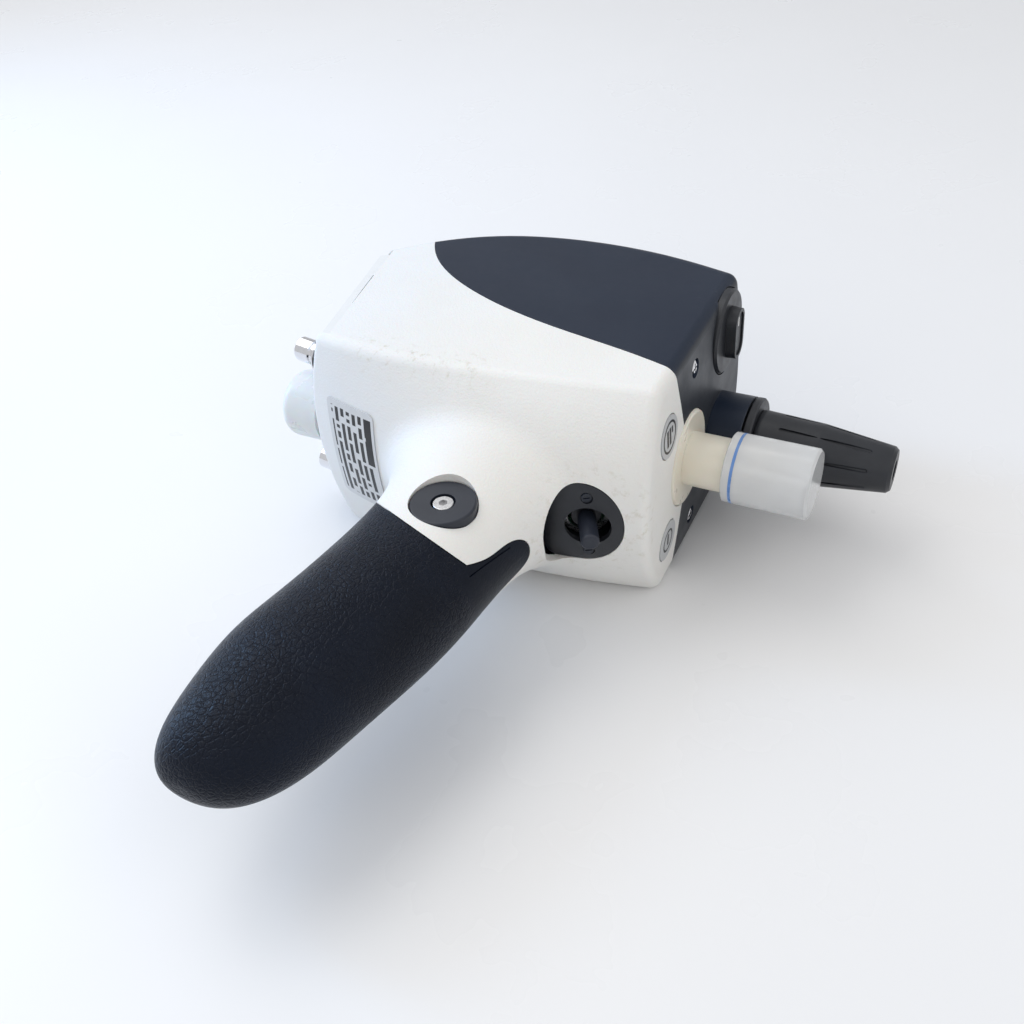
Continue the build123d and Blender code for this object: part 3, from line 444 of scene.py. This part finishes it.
def board_material():
    """Green solder resist with a faint weave and darker traces."""
    g = Graph("board_green")
    traces = g.ramp(g.cells(260, "DISTANCE_TO_EDGE"), 0.0, 0.08)
    base = g.mix(traces, (0.05, 0.30, 0.13, 1), (0.015, 0.14, 0.06, 1))
    return g.finish(Base_Color=base, Roughness=0.35, Normal=g.bump(traces, 0.02 * MM))


def optic_material(name, colour, metallic, transmission):
    """A polished optical surface with slight cloudiness."""
    g = Graph(name)
    cloud = g.noise(150, 4)
    return g.finish(
        Base_Color=g.mix(g.product(cloud, 0.3), colour, (0.8, 0.8, 0.8, 1)),
        Metallic=metallic,
        Transmission_Weight=transmission,
        Roughness=g.ramp(cloud, 0.3, 0.7, 0.02, 0.07),
        IOR=1.5,
    )


def floor_material():
    """A pale, slightly glossy table top."""
    g = Graph("floor_top")
    shade = g.ramp(g.noise(2.5, 4), 0.3, 0.7)
    base = g.mix(shade, (0.80, 0.80, 0.805, 1), (0.82, 0.82, 0.823, 1))
    return g.finish(
        Base_Color=base,
        Roughness=g.ramp(g.noise(14, 4), 0.3, 0.7, 0.27, 0.30),
        Normal=g.bump(g.noise(300, 3), 0.006 * MM),
        Specular_IOR_Level=0.3,
    )


BLACK_PLASTIC = moulded_material("plastic_black", (0.012, 0.014, 0.019, 1), 0.36, 0.48)
MATERIALS = {
    "white_shell": white_shell_material(),
    "black_shell": black_shell_material(),
    "grip": grip_material(),
    "nose": moulded_material("plastic_nose", (0.74, 0.75, 0.75, 1), 0.44, 0.56, 0.5 * MM, 0.02 * MM, 0.1),
    "ivory": ivory_material(),
    "clear": clear_material(),
    "milky": milky_material(),
    "blue": moulded_material("plastic_blue", (0.10, 0.22, 0.50, 1), 0.2, 0.3),
    "steel": metal_material("steel_turned", (0.60, 0.60, 0.61, 1), 0.20, 0.38, (500, 500, 3000)),
    "chrome": metal_material("chrome_pin", (0.78, 0.78, 0.80, 1), 0.05, 0.14, (200, 1500, 1500)),
    "alloy": metal_material("alloy_machined", (0.64, 0.65, 0.67, 1), 0.28, 0.42, (900, 200, 900)),
    "core": metal_material("alloy_cast", (0.50, 0.51, 0.53, 1), 0.42, 0.58, (700, 700, 700)),
    "anodised": moulded_material("anodised_navy", (0.010, 0.014, 0.024, 1), 0.34, 0.44, 0.25 * MM),
    "label": label_material(),
    "black": BLACK_PLASTIC,
    "rubber": moulded_material("rubber_dark", (0.012, 0.016, 0.028, 1), 0.42, 0.58, 0.3 * MM, 0.012 * MM),
    "glass": optic_material("glass_optic", (0.90, 0.96, 0.97, 1), 0.0, 1.0),
    "mirror": optic_material("mirror_gold", (0.92, 0.80, 0.50, 1), 1.0, 0.0),
    "brass": metal_material("brass_turned", (0.78, 0.58, 0.26, 1), 0.20, 0.34, (1500, 300, 300)),
    "board": board_material(),
    "grey_plastic": moulded_material("plastic_grey", (0.50, 0.51, 0.52, 1), 0.34, 0.46, tint=0.1),
}
INK_MATERIAL = moulded_material("ink_print", INK, 0.4, 0.5, 0.2 * MM, 0.003 * MM)
# White for the painted highlight stripe on the knob's grip.
PAINTED_HIGHLIGHT_MATERIAL = moulded_material("painted_highlight_white", (0.78, 0.78, 0.76, 1), 0.4, 0.5, 0.2 * MM, 0.003 * MM)


# Nodes whose finish in the visual model differs from their slot: dark and bright screws.
FINISHES = {"bezel_screws": "anodised", "shell_screws": "chrome"}


def dress_cad_nodes():
    """Gives every CAD node the detailed material of its slot, or of its own finish."""
    slots = {part["node"]: part["material_slot"] for part in frame["record"]["subparts"]}
    for name, node in NODES.items():
        material = MATERIALS[FINISHES.get(name, slots[name])]
        if not node.data.materials:
            node.data.materials.append(material)
        for index in range(len(node.material_slots)):
            node.material_slots[index].link = "OBJECT"
            node.material_slots[index].material = material


dress_cad_nodes()


# ---- Pieces -------------------------------------------------------------------------------------


def new_piece(name, mesh, material, body):
    """Links a mesh as a piece of the object that rides on a body."""
    piece = bpy.data.objects.new(name, mesh)
    bpy.context.scene.collection.objects.link(piece)
    piece.data.materials.append(material)
    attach(piece, body)
    return piece


def ring_outline(radius, inner, steps=48):
    """Quads of a flat ring, as lists of corners (across, up)."""
    quads = []
    for index in range(steps):
        turns = [2 * math.pi * (index + offset) / steps for offset in (0, 1)]
        near, far = [(math.cos(turn), math.sin(turn)) for turn in turns]
        corners = ((inner, near), (radius, near), (radius, far), (inner, far))
        quads.append([(reach * turn[0], reach * turn[1]) for reach, turn in corners])
    return quads


def bar_outline(across, up, width, height, steps=8):
    """Quads of a flat upright bar, cut across so that it can follow a curved face."""
    quads = []
    for index in range(steps):
        low = up - height / 2 + height * index / steps
        high = low + height / steps
        left, right = across - width / 2, across + width / 2
        quads.append([(left, low), (right, low), (right, high), (left, high)])
    return quads


def print_and_highlight_mark(name, node, centre, quads, material):
    """A thin mark laid on the +X face of a node: print on the keys, a painted highlight on the knob. The
    quads are in millimetres.
    """
    target = NODES[node]
    faces = [polygon.vertices[:] for polygon in target.data.polygons]
    tree = BVHTree.FromPolygons([vertex.co for vertex in target.data.vertices], faces)
    form = bmesh.new()
    for quad in quads:
        corners = []
        for across, up in quad:
            y, z = centre[0] + across * MM, centre[1] + up * MM
            hit = tree.ray_cast(Vector((RAY_START_X, y, z)), Vector((-1, 0, 0)))[0]
            corners.append(form.verts.new((hit.x + MARK_PROUD, y, z)))
        form.faces.new(corners)
    bmesh.ops.remove_doubles(form, verts=form.verts, dist=0.002 * MM)
    made = bmesh.ops.extrude_face_region(form, geom=form.faces[:])
    moved = [item for item in made["geom"] if isinstance(item, bmesh.types.BMVert)]
    bmesh.ops.translate(form, verts=moved, vec=(-MARK_DEPTH, 0, 0))
    bmesh.ops.recalc_face_normals(form, faces=form.faces[:])
    mesh = bpy.data.meshes.new(name)
    form.to_mesh(mesh)
    form.free()
    bodies = frame["record"]["behaviour"]["bodies"]
    body = next(body for body, members in bodies.items() if node in members)
    return new_piece(name, mesh, material, body)


def middle(node):
    """Middle of a node's box, across and up."""
    low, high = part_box(node)
    return (low[1] + high[1]) / 2, (low[2] + high[2]) / 2


def make_marks():
    """Generic marks in place of words: a ring and bars on the keys, and a white stripe on the knob that
    is a painted highlight of its bright edge.
    """
    ready = ring_outline(5.7, 4.9) + bar_outline(-1.7, 0, 1.4, 6.2) + bar_outline(0.5, 0, 1.4, 6.2)
    ready += bar_outline(2.4, 1.6, 1.1, 2.4, 3)
    print_and_highlight_mark("ready_mark", "ready_key", middle("ready_key"), ready, INK_MATERIAL)
    standby = ring_outline(4.4, 3.6) + bar_outline(0, 0.4, 1.3, 4.6)
    print_and_highlight_mark("standby_mark", "standby_key", middle("standby_key"), standby, INK_MATERIAL)
    # Painted highlight: a white stripe on the knob's grip stands in for its bright edge.
    highlight_stripe = bar_outline(0, 5.2, 1.0, 4.5)
    print_and_highlight_mark("knob_painted_highlight", "selector_knob", middle("selector_knob"), highlight_stripe, PAINTED_HIGHLIGHT_MATERIAL)


make_marks()


# ---- Stage --------------------------------------------------------------------------------------


def make_floor():
    """A wide table top that curves up behind the object."""
    low, high = (Vector(corner) for corner in CAD_BOX)
    centre = (low + high) / 2
    mesh = bpy.data.meshes.new("floor")
    form = bmesh.new()
    away = Vector((-math.sin(CAMERA_AZIMUTH), math.cos(CAMERA_AZIMUTH), 0))
    across = Vector((math.cos(CAMERA_AZIMUTH), math.sin(CAMERA_AZIMUTH), 0))
    rows = []
    profile = [(run, 0.0) for run in FLOOR_LEVEL_RUN]
    for step in range(1, FLOOR_CURVE_STEPS + 1):
        turn = math.pi / 2 * step / FLOOR_CURVE_STEPS
        run = FLOOR_LEVEL_RUN[-1] + FLOOR_CURVE_R * math.sin(turn)
        profile.append((run, FLOOR_CURVE_R * (1 - math.cos(turn))))
    profile.append((FLOOR_LEVEL_RUN[-1] + FLOOR_CURVE_R, FLOOR_TOP))
    for distance, height in profile:
        row = []
        for side in (-FLOOR_HALF_WIDTH, 0.0, FLOOR_HALF_WIDTH):
            place = Vector((centre.x, centre.y, low.z + height)) + away * distance + across * side
            row.append(form.verts.new(place))
        rows.append(row)
    for first, second in zip(rows, rows[1:]):
        for index in range(2):
            form.faces.new((first[index], first[index + 1], second[index + 1], second[index]))
    form.to_mesh(mesh)
    form.free()
    mesh.shade_smooth()
    floor = bpy.data.objects.new("floor", mesh)
    floor.data.materials.append(floor_material())
    bpy.context.scene.collection.objects.link(floor)


def make_light(name, place, size, power, colour):
    """A soft rectangular light that looks at the object."""
    data = bpy.data.lights.new(name, "AREA")
    data.shape = "RECTANGLE"
    data.size, data.size_y = size
    data.energy = power
    data.color = colour
    light = bpy.data.objects.new(name, data)
    light.location = place
    aim = LIGHT_AIM - Vector(place)
    light.rotation_euler = aim.to_track_quat("-Z", "Y").to_euler()
    bpy.context.scene.collection.objects.link(light)


def make_world():
    """A pale, even surround."""
    world = bpy.data.worlds.new("surround")
    bpy.context.scene.world = world
    world.use_nodes = True
    back = world.node_tree.nodes["Background"]
    back.inputs["Color"].default_value = WORLD_COLOUR
    back.inputs["Strength"].default_value = WORLD_STRENGTH


make_floor()
for light in LIGHTS:
    make_light(*light)
make_world()
bpy.context.scene.view_settings.view_transform = "Standard"
